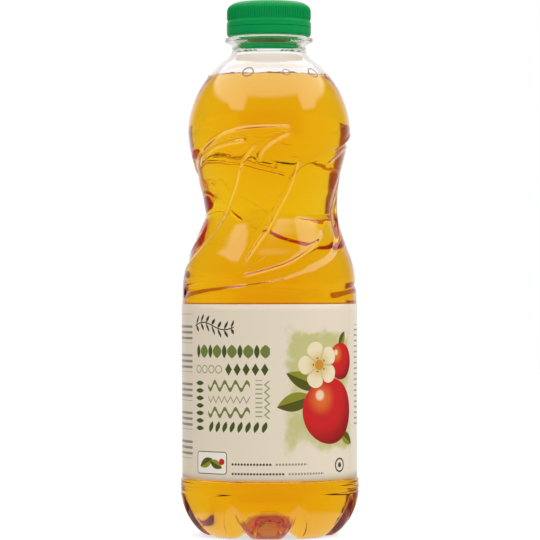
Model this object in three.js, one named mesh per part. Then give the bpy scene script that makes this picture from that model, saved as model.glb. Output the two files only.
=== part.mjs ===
// Full, shut one-litre juice bottle: a clear blown body with a swirled grip, the drink, a screw cap and
// a wrap label. Millimetres, +Z up. The origin is on the floor under the bottle's axis, and the label's
// front faces -Y.
// A place round the bottle is given in degrees from the front, growing towards +X.

import * as THREE from "three";

// Whole bottle
const HEIGHT = 253;
const DRINK_LEVEL = 217.2;
const WALL = 0.9;
const GAP = 0.3;

// Base with eight feet
const BASE_TOP = 21;
const BUMPER_R = 42.4;
const FEET = 8;
const FRONT_FOOT = -3;
const PAD_OUT_R = 29;
const PAD_IN_R = 25.5;
const CORNER_POWER = 1.63;
const VALLEY_R = 25;
const VALLEY_Z = 4.6;
const VALLEY_IN_R = 23;
const VALLEY_IN_Z = 5.2;
const VALLEY_HALF_WIDTH = 9;
const WEB_R = 15;
const WEB_Z = 2.4;
const WEB_VALLEY_RISE = 3.6;
const HUB_R = 9;
const HUB_Z = 10.8;
const PUNT_Z = 14.4;

// Inside of the base: a flat floor over the valleys, turning up into the wall
const FLOOR_Z = 6.6;
const FLOOR_R = 24;
const TURN_TOP = 24;

// Label and the flat it lies in
const LABEL_BOTTOM = 28;
const LABEL_TOP = 109.7;
const LABEL_R = 41.8;
const LABEL_THICK = 0.35;
const FLAT_R = 41.1;
const FLAT_MARGIN = 0.5;
const FLAT_STEP = 0.6;

// Side above the label, over the ribs of the grip and the dome, up to the neck: [height, radius]
const GRIP_BOTTOM = 111.6;
const GRIP_TOP = 193.6;
const NECK_START = 230;
const NECK_R = 17.7;
const SIDE = [
  [GRIP_BOTTOM, 41.4], [121, 40.95], [130, 39.2], [136, 37.0], [145, 33.9], [150, 32.7], [155.6, 32.2],
  [161.6, 32.7], [170.6, 34.6], [180.6, 36.95], [187.6, 38.15], [GRIP_TOP, 38.4], [202, 36.9], [211, 33.3],
  [218.4, 28.4], [223, 24.2], [226, 20.2], [228, 18.2], [NECK_START, NECK_R],
];

// One sunk panel of the grip, unrolled: [degrees, height]. Its rim lies on the ribs. Inside it a wall drops
// to a channel that runs all round the panel's pad. Each line runs from the panel's low corner to its tip.
const PANELS = 3;
const RIM_LEFT = [
  [-21, 117.6], [-20, 128.6], [-9, 143.6], [10, 161.6], [27, 176.6], [66, 184.6], [106, 191.8], [138, 191.8],
];
const RIM_RIGHT = [
  [-21, 117.6], [8, 120.6], [33, 126.6], [57, 134], [80, 148.6], [104, 169.6], [116, 180], [138, 191.8],
];
const FOOT_LEFT = [[-19, 118.8], [-18, 128.6], [-7, 143], [12, 160.8], [29, 175], [66, 183.2], [110, 188.6]];
const FOOT_RIGHT = [[-19, 118.8], [8, 122], [33, 128], [55, 135.6], [76, 151], [92, 170], [110, 188.6]];
const PAD_LEFT = [
  [-17, 122], [-15, 131], [-6, 140], [7, 151.6], [19, 162], [50, 173.8], [78, 181.8], [102, 186],
];
const PAD_RIGHT = [[-17, 122], [10, 128.3], [38, 138], [53, 147], [64, 158], [77, 171], [102, 186]];

// How deep the channel and the pad lie at each height
const CHANNEL_DEPTH = [
  [GRIP_BOTTOM, 0.6], [122, 0.9], [130, 1.3], [140, 1.5], [152, 2.4], [162, 1.6], [172, 1.4], [185, 1.9],
];
const PAD_DEPTH = [
  [122, 0.4], [141, 0.7], [147, 1.35], [151.6, 2.3], [156.5, 1.35], [161, 1], [166, 0.6], [172, 0.9],
];

// The channel's tail, which runs on from the panel's low corner between a rib and the shoulder over the label
const TAIL = [[-19, 119.6], [-43, 117.8], [-74, 115.4]];
const TAIL_DEPTH = 0.9;
const TAIL_HALF_WIDTH = 1.5;

// Radius at which the grip is unrolled
const UNROLL_R = 36;

// Neck ring and mouth
const NECK_RING_R = 20.8;
const NECK_RING_BOTTOM = 233;
const NECK_RING_TOP = 236.1;
const FINISH_R = 18;
const BORE_R = 16;
const MOUTH_Z = 250.1;
const EDGE_ROUND = 0.6;

// Cap
const CAP_BOTTOM = 237;
const CAP_BAND_R = 19.6;
const CAP_R = 20.05;
const CAP_TOP_R = 19.85;
const CAP_CORNER_ACROSS = 5;
const CAP_CORNER_UP = 4.5;
const CAP_WALL_R = FINISH_R + 0.4;
const CAP_CEILING = MOUTH_Z + 0.6;
const BAND_TOP = 240.9;
const SLIT = 0.7;
const SLIT_DEPTH = 0.6;
const LEDGE_TOP = 243.4;
const LEDGE_SLOPE = 0.7;

// Facets: columns round the bottle and rows up each stretch
const COLUMNS = 72;
const COARSE = 36;
const CAP_COLUMNS = 48;
const BASE_ROWS = 6;
const GRIP_ROWS = 27;
const INNER_GRIP_ROWS = 14;
const DOME_ROWS = 6;
const FILLET_ROWS = 3;
const INNER_DOME_ROWS = 4;
const TURN_ROWS = 4;
const CORNER_ROWS = 4;
const CURVE_STEPS = 8;

// The inner wall has fewer facets, so it keeps clear of the outer ones within these degrees and millimetres.
const NEAR_DEGREES = [-5, -2.5, 0, 2.5, 5];
const NEAR_HEIGHTS = [-3, -1.5, 0, 1.5, 3];
const COARSE_WALL = 2 * WALL;

// Where the columns thin out below the neck
const DOME_END = 224;

// The columns lean with the swirl between these heights, by this many degrees in all.
const LEAN_BOTTOM = 124;
const LEAN_TOP = 190;
const LEAN = 52;

const { clamp, smoothstep, lerp } = THREE.MathUtils;
const PANEL_PITCH = 360 / PANELS;
const FOOT_PITCH = 360 / FEET;
const FIRST_VALLEY = FRONT_FOOT + FOOT_PITCH / 2;
const ARC_PER_DEGREE = (UNROLL_R * Math.PI) / 180;

// Value at one height of a smooth line through [height, value] points.
function along(points, height) {
  const last = points.length - 1;
  const after = points.findIndex(([at]) => at >= height);
  const i = clamp(after < 0 ? last - 1 : after - 1, 0, last - 1);
  const slope = (a, b) => (points[b][1] - points[a][1]) / (points[b][0] - points[a][0]);
  const tangent = (k) => slope(Math.max(k - 1, 0), Math.min(k + 1, last));
  const span = points[i + 1][0] - points[i][0];
  const t = clamp((height - points[i][0]) / span, 0, 1);
  const ease = t * t * (3 - 2 * t);
  const lead = t * (1 - t) * (1 - t) * span * tangent(i);
  const trail = t * t * (t - 1) * span * tangent(i + 1);
  return lerp(points[i][1], points[i + 1][1], ease) + lead + trail;
}

// A smooth line through [degrees, height] points, unrolled to millimetres.
function unroll(points) {
  const flat = points.map(([degrees, height]) => new THREE.Vector2(degrees * ARC_PER_DEGREE, height));
  return new THREE.SplineCurve(flat).getPoints(CURVE_STEPS * (points.length - 1));
}

function loop(left, right) {
  return [...unroll(left), ...unroll(right).reverse().slice(1, -1)];
}

const RIM = loop(RIM_LEFT, RIM_RIGHT);
const FOOT = loop(FOOT_LEFT, FOOT_RIGHT);
const PAD = loop(PAD_LEFT, PAD_RIGHT);
const TAIL_LINE = unroll(TAIL);

function isInside(polygon, point) {
  let inside = false;
  polygon.forEach((a, i) => {
    const b = polygon[(i + 1) % polygon.length];
    const crosses = a.y > point.y !== b.y > point.y;
    if (crosses && point.x < a.x + ((b.x - a.x) * (point.y - a.y)) / (b.y - a.y)) inside = !inside;
  });
  return inside;
}

// Distance from a point to a line of points, closed or open.
function distance(line, point, closed) {
  let nearest = Infinity;
  const segments = closed ? line.length : line.length - 1;
  for (let i = 0; i < segments; i += 1) {
    const a = line[i];
    const step = line[(i + 1) % line.length].clone().sub(a);
    const t = clamp(point.clone().sub(a).dot(step) / step.lengthSq(), 0, 1);
    nearest = Math.min(nearest, a.clone().addScaledVector(step, t).distanceTo(point));
  }
  return nearest;
}

// How far a point lies from one loop towards a smaller one inside it, from 0 to 1.
function shareTo(outer, inner, point) {
  if (isInside(inner, point)) return 1;
  const fromOuter = distance(outer, point, true);
  return fromOuter / (fromOuter + distance(inner, point, true));
}

// Depth of one panel at a point of the unrolled grip.
function panelDepth(point) {
  const toTail = distance(TAIL_LINE, point, false) / TAIL_HALF_WIDTH;
  const tail = TAIL_DEPTH * Math.exp(-toTail * toTail);
  if (!isInside(RIM, point)) return tail;
  const channel = along(CHANNEL_DEPTH, point.y) * shareTo(RIM, FOOT, point);
  if (!isInside(FOOT, point)) return Math.max(channel, tail);
  return lerp(channel, along(PAD_DEPTH, point.y), smoothstep(shareTo(FOOT, PAD, point), 0, 1));
}

function gripDepth(degrees, height) {
  let depth = 0;
  for (let turn = -PANELS; turn <= PANELS; turn += 1) {
    const point = new THREE.Vector2((degrees + turn * PANEL_PITCH) * ARC_PER_DEGREE, height);
    depth = Math.max(depth, panelDepth(point));
  }
  return depth;
}

function gripRadius(degrees, height) {
  return along(SIDE, height) - gripDepth(degrees, height);
}

// The inner wall keeps its thickness to every near point of the outer one.
function innerGripRadius(degrees, height) {
  let radius = Infinity;
  for (const aside of NEAR_DEGREES) {
    for (const above of NEAR_HEIGHTS) {
      const near = clamp(height + above, GRIP_BOTTOM, GRIP_TOP);
      radius = Math.min(radius, gripRadius(degrees + aside, near));
    }
  }
  return radius - WALL;
}

// A ring of points, the first one turn degrees past a valley. place gives [radius, height] from the degrees.
function ring(columns, turn, place) {
  return Array.from({ length: columns }, (_, k) => {
    const degrees = FIRST_VALLEY + turn + (360 * k) / columns;
    const [radius, height] = place(degrees);
    const angle = (degrees * Math.PI) / 180;
    return new THREE.Vector3(radius * Math.sin(angle), -radius * Math.cos(angle), height);
  });
}

function circle(columns, radius, height, turn = 0) {
  return ring(columns, turn, () => [radius, height]);
}

// Triangles between two rings with as many columns, or twice as many on one side, or with a single point.
// Each square is cut along the same corner to corner line, whether the rings rise or fall.
function strip(from, to) {
  const columns = Math.max(from.length, to.length);
  const at = (points, k) => points[Math.floor((k * points.length) / columns) % points.length];
  const cuts = to[0].z < from[0].z ? [[0, 1, 3], [1, 2, 3]] : [[0, 1, 2], [0, 2, 3]];
  const faces = [];
  for (let k = 0; k < columns; k += 1) {
    const corners = [at(from, k), at(from, k + 1), at(to, k + 1), at(to, k)];
    faces.push(...cuts.map((cut) => cut.map((i) => corners[i])));
  }
  return faces.filter((face) => new Set(face).size === 3);
}

// A closed body over a row of rings, which runs from one pole to the other or comes back to its first ring.
function body(rings, closed = false) {
  const faces = rings.slice(1).flatMap((upper, i) => strip(rings[i], upper));
  if (closed) faces.push(...strip(rings[rings.length - 1], rings[0]));
  const geometry = new THREE.BufferGeometry().setFromPoints(faces.flat());
  geometry.computeVertexNormals();
  return geometry;
}

function pole(height) {
  return [new THREE.Vector3(0, 0, height)];
}

function steps(count) {
  return Array.from({ length: count }, (_, i) => (i + 1) / count);
}

function lean(height) {
  return LEAN * smoothstep(height, LEAN_BOTTOM, LEAN_TOP);
}

// How much of the valley between two feet a direction holds, from 0 on a foot to 1 on the valley's line.
function valleyShare(degrees) {
  const turns = (degrees - FIRST_VALLEY) / FOOT_PITCH;
  const aside = Math.abs(turns - Math.round(turns)) * FOOT_PITCH;
  return Math.max(0, 1 - aside / VALLEY_HALF_WIDTH);
}

// Underside and rounded corner of the base, from the middle out and up to the wall.
function baseRings() {
  const between = (foot, valley) => (degrees) => {
    const share = valleyShare(degrees);
    return [lerp(foot[0], valley[0], share), lerp(foot[1], valley[1], share)];
  };
  const corner = (t, bottomR, bottomZ) => {
    const across = Math.cos((t * Math.PI) / 2) ** (2 / CORNER_POWER);
    const down = Math.sin((t * Math.PI) / 2) ** (2 / CORNER_POWER);
    return [lerp(bottomR, BUMPER_R, across), lerp(BASE_TOP, bottomZ, down)];
  };
  const rings = [
    pole(PUNT_Z),
    circle(COARSE, HUB_R, HUB_Z),
    ring(COLUMNS, 0, between([WEB_R, WEB_Z], [WEB_R, WEB_Z + WEB_VALLEY_RISE])),
    ring(COLUMNS, 0, between([PAD_IN_R, 0], [VALLEY_IN_R, VALLEY_IN_Z])),
  ];
  for (let i = BASE_ROWS; i >= 0; i -= 1) {
    const t = i / BASE_ROWS;
    rings.push(ring(COLUMNS, 0, between(corner(t, PAD_OUT_R, 0), corner(t, VALLEY_R, VALLEY_Z))));
  }
  return rings;
}

// Outside of the body from the floor to the mouth.
function outerRings() {
  const flatTop = LABEL_TOP + FLAT_MARGIN;
  const flatBottom = LABEL_BOTTOM - FLAT_MARGIN;
  const rings = [
    ...baseRings(),
    circle(COLUMNS, BUMPER_R, flatBottom - FLAT_STEP),
    circle(COLUMNS, FLAT_R, flatBottom),
    circle(COLUMNS, FLAT_R, flatTop),
  ];
  for (const t of [0, ...steps(GRIP_ROWS)]) {
    const height = lerp(GRIP_BOTTOM, GRIP_TOP, t);
    rings.push(ring(COLUMNS, lean(height), (degrees) => [gripRadius(degrees, height), height]));
  }
  for (const t of steps(DOME_ROWS)) {
    const height = lerp(GRIP_TOP, DOME_END, t * (2 - t));
    rings.push(circle(COLUMNS, along(SIDE, height), height, LEAN));
  }
  for (const t of steps(FILLET_ROWS)) {
    const height = lerp(DOME_END, NECK_START, t);
    rings.push(circle(COARSE, along(SIDE, height), height, LEAN));
  }
  const neck = [
    [NECK_R, NECK_RING_BOTTOM], [NECK_RING_R, NECK_RING_BOTTOM + EDGE_ROUND],
    [NECK_RING_R, NECK_RING_TOP - EDGE_ROUND], [FINISH_R, NECK_RING_TOP],
    [FINISH_R, MOUTH_Z - EDGE_ROUND], [FINISH_R - EDGE_ROUND, MOUTH_Z],
  ];
  rings.push(...neck.map(([radius, height]) => circle(COARSE, radius, height, LEAN)));
  return rings;
}

// Inside of the body from its floor to the drink's level, set in by a distance from the inner wall.
function insideRings(setIn) {
  const rings = [pole(PUNT_Z + WALL + setIn), circle(COARSE, HUB_R, HUB_Z + WALL + setIn)];
  for (const t of [0, ...steps(TURN_ROWS)]) {
    const angle = (t * Math.PI) / 2;
    const radius = lerp(FLOOR_R, BUMPER_R - COARSE_WALL - setIn, Math.sin(angle));
    rings.push(circle(COARSE, radius, lerp(TURN_TOP, FLOOR_Z + setIn, Math.cos(angle))));
  }
  rings.push(circle(COARSE, FLAT_R - WALL - setIn, LABEL_BOTTOM));
  for (const t of [0, ...steps(INNER_GRIP_ROWS)]) {
    const height = lerp(GRIP_BOTTOM, GRIP_TOP, t);
    const place = (degrees) => [innerGripRadius(degrees, height) - setIn, height];
    rings.push(ring(COARSE, lean(height), place));
  }
  for (const t of steps(INNER_DOME_ROWS)) {
    const height = lerp(GRIP_TOP, DRINK_LEVEL, t);
    rings.push(circle(COARSE, along(SIDE, height) - COARSE_WALL - setIn, height, LEAN));
  }
  return rings;
}

function bottleGeometry() {
  const underNeck = [(DOME_END + NECK_START) / 2, DOME_END];
  const neckInside = [
    circle(COARSE, BORE_R, MOUTH_Z, LEAN),
    circle(COARSE, BORE_R, NECK_START, LEAN),
    ...underNeck.map((height) => circle(COARSE, along(SIDE, height) - COARSE_WALL, height, LEAN)),
  ];
  return body([...outerRings(), ...neckInside, ...insideRings(0).reverse()]);
}

function juiceGeometry() {
  return body([...insideRings(GAP), pole(DRINK_LEVEL)]);
}

function labelGeometry() {
  const inner = LABEL_R - LABEL_THICK;
  const corners = [[inner, LABEL_BOTTOM], [LABEL_R, LABEL_BOTTOM], [LABEL_R, LABEL_TOP], [inner, LABEL_TOP]];
  return body(corners.map(([radius, height]) => circle(COLUMNS, radius, height)), true);
}

// Screw cap: a shell over the mouth, its tamper band below a slit, its top edge rounded.
function capGeometry() {
  const inside = [
    [CAP_WALL_R - EDGE_ROUND, CAP_CEILING], [CAP_WALL_R, CAP_CEILING - EDGE_ROUND], [CAP_WALL_R, CAP_BOTTOM],
  ];
  const band = [
    [CAP_BAND_R - EDGE_ROUND, CAP_BOTTOM], [CAP_BAND_R, CAP_BOTTOM + EDGE_ROUND], [CAP_R, BAND_TOP],
    [CAP_R - SLIT_DEPTH, BAND_TOP], [CAP_R - SLIT_DEPTH, BAND_TOP + SLIT], [CAP_R, BAND_TOP + SLIT],
  ];
  const shell = [[CAP_R, LEDGE_TOP], [CAP_TOP_R, LEDGE_TOP + LEDGE_SLOPE]];
  const round = [0, ...steps(CORNER_ROWS)].map((t) => {
    const across = CAP_CORNER_ACROSS * (1 - Math.cos((t * Math.PI) / 2));
    const down = CAP_CORNER_UP * (1 - Math.sin((t * Math.PI) / 2));
    return [CAP_TOP_R - across, HEIGHT - down];
  });
  const rings = [...inside, ...band, ...shell, ...round].map(([radius, height]) => {
    return circle(CAP_COLUMNS, radius, height);
  });
  return body([pole(CAP_CEILING), ...rings, pole(HEIGHT)]);
}

function piece(name, geometry, material) {
  const mesh = new THREE.Mesh(geometry, new THREE.MeshStandardMaterial(material));
  mesh.name = name;
  return mesh;
}

const CLEAR_PLASTIC = { color: 0xe9eef0, roughness: 0.08, metalness: 0, transparent: true, opacity: 0.35 };
const ORANGE_DRINK = { color: 0xe8a30c, roughness: 0.05, metalness: 0, transparent: true, opacity: 0.9 };
const GREEN_PLASTIC = { color: 0x00914a, roughness: 0.4, metalness: 0 };
const CREAM_FILM = { color: 0xebe3d4, roughness: 0.35, metalness: 0 };

const group = new THREE.Group();
group.add(
  piece("bottle", bottleGeometry(), CLEAR_PLASTIC),
  piece("juice", juiceGeometry(), ORANGE_DRINK),
  piece("cap", capGeometry(), GREEN_PLASTIC),
  piece("label", labelGeometry(), CREAM_FILM),
);

export default group;
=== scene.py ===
"""A shut one-litre bottle of clear plastic, filled with amber juice, on a white studio floor.

Lengths inside the script are millimetres, with the bottle's axis up +Z and its front towards -Y.
An angle round the bottle is in degrees from the front, growing towards +X. Meshes are made in metres.
"""

import math

import bpy
import numpy as np
from mathutils import Euler, Matrix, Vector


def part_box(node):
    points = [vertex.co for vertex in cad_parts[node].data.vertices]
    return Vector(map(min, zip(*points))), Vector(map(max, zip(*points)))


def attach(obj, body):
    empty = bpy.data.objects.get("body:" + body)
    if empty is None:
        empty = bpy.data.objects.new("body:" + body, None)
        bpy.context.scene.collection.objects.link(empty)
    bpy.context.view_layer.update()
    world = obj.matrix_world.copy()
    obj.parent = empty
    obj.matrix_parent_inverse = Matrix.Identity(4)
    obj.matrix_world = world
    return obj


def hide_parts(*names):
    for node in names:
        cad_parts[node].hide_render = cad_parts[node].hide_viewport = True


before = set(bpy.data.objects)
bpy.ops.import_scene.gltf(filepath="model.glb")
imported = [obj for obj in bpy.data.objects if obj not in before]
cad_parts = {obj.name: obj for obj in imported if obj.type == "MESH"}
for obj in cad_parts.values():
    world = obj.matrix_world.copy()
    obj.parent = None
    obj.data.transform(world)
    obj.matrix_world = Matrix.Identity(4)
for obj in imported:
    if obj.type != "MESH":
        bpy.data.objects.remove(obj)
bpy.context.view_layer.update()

bl_info = {
    "name": "Juice Bottle",
    "version": (1, 0, 0),
    "blender": (4, 5, 0),
    "location": "3D Viewport > Sidebar > Bottle",
    "description": "Builds a full juice bottle with its screw cap, wrap label and studio",
    "category": "Object",
}

MM = 0.001
BODY = "root"
_, BOTTLE_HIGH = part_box("bottle")
_, JUICE_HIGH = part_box("juice")
CAP_LOW, CAP_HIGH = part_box("cap")
LABEL_LOW, LABEL_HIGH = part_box("label")

# Sizes of the whole bottle, from the frame
BUMPER_R = BOTTLE_HIGH.x / MM
MOUTH_Z = BOTTLE_HIGH.z / MM
CAP_BOTTOM = CAP_LOW.z / MM
CAP_TOP = CAP_HIGH.z / MM
LABEL_BOTTOM = LABEL_LOW.z / MM
LABEL_TOP = LABEL_HIGH.z / MM
LABEL_R = LABEL_HIGH.x / MM
LEVEL = JUICE_HIGH.z / MM

# Base: foot and valley outlines as (radius, height), from the middle out
BASE_TOP = 21
FEET = 8
FRONT_FOOT = -3
FOOT_LINE = [(0, 14.4), (5, 13.8), (9, 10.8), (11.8, 5.6), (15, 2.4), (25.5, 0), (29, 0)]
VALLEY_LINE = [(0, 14.4), (5, 13.8), (9, 10.8), (12, 7.2), (16, 6), (23, 5.2), (25, 4.6)]
CORNER_POWER = 1.63
VALLEY_LOW_HALF_WIDTH = 14
VALLEY_HIGH_HALF_WIDTH = 3.4
VALLEY_SHARPNESS = 2.6
GROOVES = [21.6, 25.5]
GROOVE_DEPTH = 0.15
GROOVE_HALF_WIDTH = 0.5

# Wall between the base and the grip, under the label
FLAT_R = LABEL_R - 0.35
FLAT_BOTTOM = LABEL_BOTTOM - 0.4
FLAT_RINGS = [28.6, 56, 84, 109.4, 110.4]

# Grip and shoulder: radius at each height
GRIP_BOTTOM = 111.6
GRIP_TOP = 193.6
FILLET_START = 221
NECK_START = 230
SIDE = [
    (111.6, 41.4), (121, 40.95), (130, 39.2), (136, 37.0), (145, 33.9), (150, 32.7), (155.6, 32.2),
    (161.6, 32.7), (170.6, 34.6), (180.6, 36.95), (187.6, 38.15), (193.6, 38.4), (202, 36.9),
    (211, 33.3), (218.4, 28.4), (223, 24.2), (226, 20.2), (228, 18.2), (230, 17.7),
]

# The sunk panels of the grip: left and right sides of their rim, foot and pad as (degrees, height)
PANELS = 3
RIM_LEFT = [
    (-21, 117.6), (-20, 128.6), (-9, 143.6), (10, 161.6), (27, 176.6), (66, 184.6), (106, 191.8),
    (138, 191.8),
]
RIM_RIGHT = [
    (-21, 117.6), (8, 120.6), (33, 126.6), (57, 134), (80, 148.6), (104, 169.6), (116, 180), (138, 191.8),
]
FOOT_LEFT = [(-19, 118.8), (-18, 128.6), (-7, 143), (12, 160.8), (29, 175), (66, 183.2), (110, 188.6)]
FOOT_RIGHT = [(-19, 118.8), (8, 122), (33, 128), (55, 135.6), (76, 151), (92, 170), (110, 188.6)]
PAD_LEFT = [(-17, 122), (-15, 131), (-6, 140), (7, 151.6), (19, 162), (50, 173.8), (78, 181.8), (102, 186)]
PAD_RIGHT = [(-17, 122), (10, 128.3), (38, 138), (53, 147), (64, 158), (77, 171), (102, 186)]
CHANNEL_DEPTH = [
    (111.6, 0.6), (122, 0.9), (130, 1.3), (140, 1.5), (152, 2.4), (162, 1.6), (172, 1.4), (185, 1.9),
]
PAD_DEPTH = [
    (122, 0.4), (141, 0.7), (147, 1.35), (151.6, 2.3), (156.5, 1.35), (161, 1), (166, 0.6), (172, 0.9),
]
TAIL = [(-19, 119.6), (-43, 117.8), (-74, 115.4)]
TAIL_DEPTH = 0.9
TAIL_HALF_WIDTH = 1.5
BEADS = [
    [(-18.5, 127.6), (-9.5, 136.6), (-1.4, 144.2), (12.8, 158.4), (20, 168), (23, 178)],
    [(71, 145), (82, 156), (91.7, 165.2), (95.5, 171.6), (104, 179.8), (111.6, 184.4)],
    [(112.8, 175.6), (115, 180.3), (125, 185.6), (137, 189.6)],
    [(50.4, 174.8), (75.7, 182.5), (104.4, 185.5)],
    [(-19, 122.4), (-4, 125), (11, 128.2), (24, 132.6), (39, 138.4), (50, 144)],
    [(56, 181), (65, 183.4), (88.7, 189.6), (110.3, 192), (137, 192)],
]
BEAD_HEIGHT = 0.35
BEAD_HALF_WIDTH = 0.95
BEAD_CREST = 0.5
BEAD_CREST_HALF_WIDTH = 0.55
BEAD_RUN_OUT = 4
UNROLL_R = 36
CURVE_STEPS = 8
LEAN = 52
LEAN_BOTTOM = 124
LEAN_TOP = 190

# Neck, as (radius, height, rounding)
NECK_R = 17.7
FINISH_R = 18
BORE_R = 16
NECK_CORNERS = [
    (NECK_R, NECK_START, 0), (NECK_R, 233, 1.2), (20.8, 234.2, 0.5), (20.8, 235.9, 0.4),
    (FINISH_R, 236.1, 0.5), (FINISH_R, MOUTH_Z, 0.6), (BORE_R, MOUTH_Z, 0.5), (BORE_R, 232.8, 1),
    (NECK_R - 0.5, NECK_START, 0),
]

# Cap, as (radius, height, rounding), round its closed section
CAP_R = 20.05
CAP_TOP_R = 19.6
CAP_CORNER_ACROSS = 5
CAP_CORNER_UP = 4.5
CAP_CORNER_START = CAP_TOP - CAP_CORNER_UP
CAP_WALL_R = FINISH_R + 0.4
CAP_CEILING = MOUTH_Z + 0.6
BAND_TOP = 240.9
SLIT = 0.25
SLIT_R = CAP_R - 0.35
LEDGE_TOP = 243.4
RIB_BOTTOM = LEDGE_TOP + 0.9
RIB_TOP = 252

# Label print: leaves as (along, up, degrees, length, width), fruit and blossom as (along, up, radius)
LEAVES = [(17, 46, 158, 20, 8), (12, 36.5, 196, 18, 8.5), (43, 19, -28, 12, 5.5), (39.5, 65, 62, 9, 4.4)]
FRUIT = [(38.5, 55, 8.6), (31, 32, 15.4)]
BLOSSOM = (24.5, 53.5, 11)
LAP_MIDDLE = 153
LAP_HALF_ANGLE = 4.6

# Clear materials
PLASTIC_IOR = 1.5
JUICE_IOR = 1.34
WHITE = (1.0, 1.0, 1.0, 1.0)
NO_TINT = (0.0, 0.0, 0.0, 1.0)

# Camera: place in metres, lens in millimetres, and pitch, yaw and roll in degrees
CAMERA_PLACE = (0.0, -1.3804, 0.1158)
CAMERA_LENS = 193.33
CAMERA_TILT = (0.415, -0.012, -0.11)

# Resolution
COLUMNS = 360
PITCH_COLUMNS = COLUMNS // PANELS
GRIP_ROWS = 102
BASE_ROWS = 12
CORNER_ROWS = 26
CAP_COLUMNS = 160
LABEL_COLUMNS = 240
LABEL_ROWS = 24


# Node trees

class Signal:
    """The value of a node's output. Arithmetic on it adds Math nodes to its tree."""

    def __init__(self, nodes, socket):
        self.nodes = nodes
        self.socket = socket

    def maths(self, operation, *values):
        inputs = dict(enumerate(values))
        return self.nodes.add("ShaderNodeMath", {"operation": operation}, inputs)

    def __add__(self, other):
        return self.maths("ADD", self, other)

    def __sub__(self, other):
        return self.maths("SUBTRACT", self, other)

    def __rsub__(self, other):
        return self.maths("SUBTRACT", other, self)

    def __mul__(self, other):
        return self.maths("MULTIPLY", self, other)

    def __truediv__(self, other):
        return self.maths("DIVIDE", self, other)

    def __pow__(self, other):
        return self.maths("POWER", self, other)

    def __neg__(self):
        return self.maths("MULTIPLY", self, -1.0)

    def __abs__(self):
        return self.maths("ABSOLUTE", self)

    def __lt__(self, other):
        return self.maths("LESS_THAN", self, other)

    def __gt__(self, other):
        return self.maths("GREATER_THAN", self, other)

    def least(self, other):
        return self.maths("MINIMUM", self, other)

    def most(self, other):
        return self.maths("MAXIMUM", self, other)

    def bell(self):
        """1 at zero, falling off smoothly to 0 beyond 2 on either side."""
        return self.maths("EXPONENT", self * self * -1.0)

    def near(self, middle, reach):
        """1 where the value lies no farther than reach from the middle, and 0 elsewhere."""
        return self.maths("COMPARE", self, middle, reach)

    def root(self):
        return self.maths("SQRT", self)

    def sine(self):
        return self.maths("SINE", self)

    def wrapped(self, size):
        return self.maths("FLOORED_MODULO", self, size)

    def ramp(self, start, end, low=0.0, high=1.0):
        """Runs smoothly from low at start to high at end, and stays there."""
        inputs = {"Value": self, "To Min": low, "To Max": high}
        if start < end:
            inputs.update({"From Min": start, "From Max": end})
        else:
            inputs.update({"From Min": end, "From Max": start, "To Min": high, "To Max": low})
        return self.nodes.add("ShaderNodeMapRange", {"interpolation_type": "SMOOTHSTEP"}, inputs)


class Nodes:
    """Adds nodes to one tree."""

    def __init__(self, tree):
        self.tree = tree
        tree.nodes.clear()

    def add(self, kind, settings=None, inputs=None, output=0):
        """Adds a node: its settings come first, then its sockets' values and links, by name or by number."""
        node = self.tree.nodes.new(kind)
        for name, value in (settings or {}).items():
            setattr(node, name, value)
        for key, value in (inputs or {}).items():
            socket = self.find(node.inputs, key)
            if isinstance(value, Signal):
                self.tree.links.new(value.socket, socket)
            else:
                socket.default_value = value
        if not node.outputs:
            return node
        return Signal(self, self.find(node.outputs, output))

    @staticmethod
    def find(sockets, key):
        enabled = [socket for socket in sockets if socket.enabled]
        if isinstance(key, int):
            return enabled[key]
        return next(socket for socket in enabled if key in (socket.name, socket.identifier))

    def other(self, signal, output):
        """Another output of the node that a signal comes from."""
        return Signal(self, self.find(signal.socket.node.outputs, output))

    def split(self, vector):
        first = self.add("ShaderNodeSeparateXYZ", None, {"Vector": vector})
        return first, self.other(first, "Y"), self.other(first, "Z")

    def join(self, x=0.0, y=0.0, z=0.0):
        return self.add("ShaderNodeCombineXYZ", None, {"X": x, "Y": y, "Z": z})

    def mix(self, share, first, second):
        """Goes from the first colour to the second."""
        inputs = {"Factor": share, "A": first, "B": second}
        return self.add("ShaderNodeMix", {"data_type": "RGBA"}, inputs)

    def noise(self, vector, scale, detail=2.0, roughness=0.5):
        inputs = {"Vector": vector, "Scale": scale, "Detail": detail, "Roughness": roughness}
        return self.add("ShaderNodeTexNoise", None, inputs)

    def bump(self, height, distance, strength=1.0):
        inputs = {"Height": height, "Distance": distance, "Strength": strength}
        return self.add("ShaderNodeBump", None, inputs, "Normal")


def grey(value):
    return (value, value, value, 1.0)


def shade(red, green, blue):
    """A linear colour from the three numbers, 0 to 255, of a screen colour."""
    def linear(value):
        share = value / 255
        return share / 12.92 if share <= 0.04045 else ((share + 0.055) / 1.055) ** 2.4
    return (linear(red), linear(green), linear(blue), 1.0)


def new_material(name, preview):
    material = bpy.data.materials.new(name)
    material.use_nodes = True
    material.diffuse_color = preview
    return material, Nodes(material.node_tree)


def finish_surface(nodes, **sockets):
    """Ends a material in one Principled shader. A socket's name has its blanks written as _."""
    inputs = {name.replace("_", " "): value for name, value in sockets.items()}
    shader = nodes.add("ShaderNodeBsdfPrincipled", None, inputs)
    return nodes.add("ShaderNodeOutputMaterial", None, {"Surface": shader})


def absorb(nodes, output, colour, density):
    """Lets the inside of a clear material take up light."""
    volume = nodes.add("ShaderNodeVolumeAbsorption", None, {"Color": colour, "Density": density})
    nodes.tree.links.new(volume.socket, output.inputs["Volume"])


# Mesh helpers

def lathe(radius, height, degrees):
    """Points on rings, from arrays of radius, height and angle that fit each other."""
    angle = np.radians(degrees)
    across, along, up = np.broadcast_arrays(radius * np.sin(angle), -radius * np.cos(angle), height)
    return np.stack([across, along, up], axis=-1)


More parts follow.
